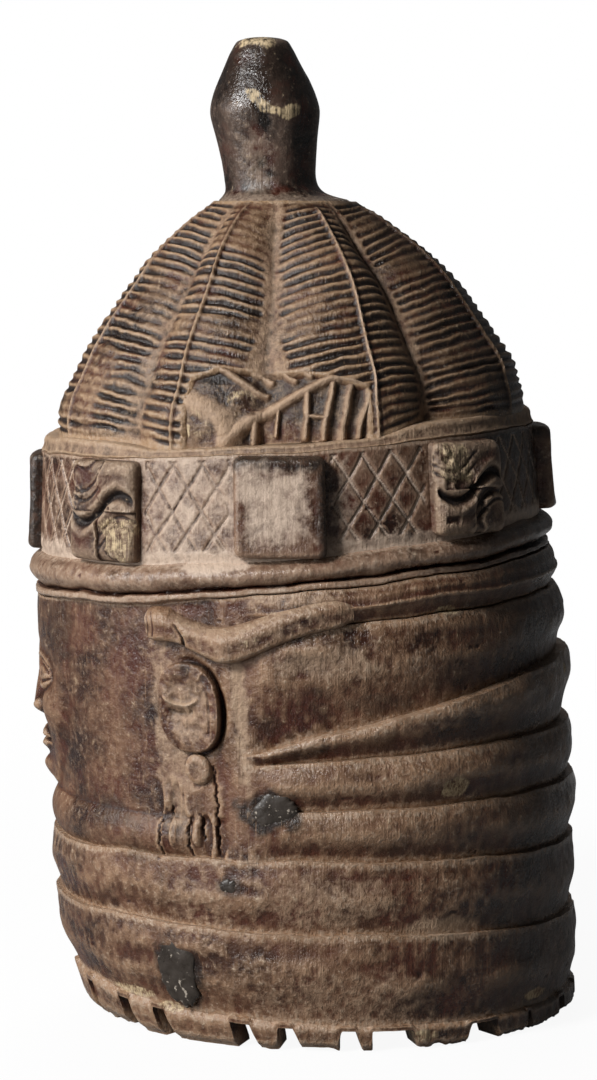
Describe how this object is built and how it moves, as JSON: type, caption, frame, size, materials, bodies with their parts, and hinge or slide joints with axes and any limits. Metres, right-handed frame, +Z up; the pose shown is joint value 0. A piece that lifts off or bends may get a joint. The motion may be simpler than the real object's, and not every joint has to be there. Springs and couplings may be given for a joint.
{
  "type": "carved wooden helmet mask",
  "caption": "Hollow carved wooden helmet mask, open below, with ringed neck, calm face, amulet band, ribbed coiffure and knob on top.",
  "frame": {"origin": "middle of the base, on the plane that the rim stands on", "axes": "+Z up through the knob, -Y the way the face looks, +X the mask's own left side"},
  "size_m": [0.2144, 0.239, 0.42],
  "materials": {
    "stained_wood": "dark stained wood, worn brown on the high places",
    "carved_hair_wood": "stained and ribbed wood with pale dust in the cuts",
    "dark_smooth_wood": "smoothed dark wood with a low sheen",
    "polished_black_wood": "nearly black wood, handled to a gloss",
    "bare_pale_wood": "worn carving with patches of bare pale wood",
    "pitch": "black pitch, glossy"
  },
  "bodies": {
    "root": {"neck_ring_1": "stained_wood", "neck_ring_2": "stained_wood", "neck_ring_3": "stained_wood", "neck_ring_4": "stained_wood", "neck_ring_5": "stained_wood", "neck_ring_6": "stained_wood", "lower_roll": "stained_wood", "upper_roll": "stained_wood", "rim": "stained_wood", "face": "dark_smooth_wood", "amulet_band": "stained_wood", "amulet_boss_left": "stained_wood", "amulet_boss_back": "stained_wood", "amulet_boss_right": "stained_wood", "amulet_boss_front": "stained_wood", "amulet_boss_front_left": "bare_pale_wood", "amulet_boss_back_left": "bare_pale_wood", "amulet_boss_back_right": "bare_pale_wood", "amulet_boss_front_right": "bare_pale_wood", "hair_border": "stained_wood", "coiffure": "carved_hair_wood", "leaf_relief_left": "carved_hair_wood", "leaf_relief_right": "carved_hair_wood", "finial": "polished_black_wood", "ear_left": "dark_smooth_wood", "ear_drop_left": "dark_smooth_wood", "side_plait_left": "stained_wood", "ear_right": "dark_smooth_wood", "ear_drop_right": "dark_smooth_wood", "side_plait_right": "stained_wood", "pitch_fill_1": "pitch", "pitch_fill_2": "pitch", "pitch_fill_3": "pitch"}
  },
  "joints": []
}
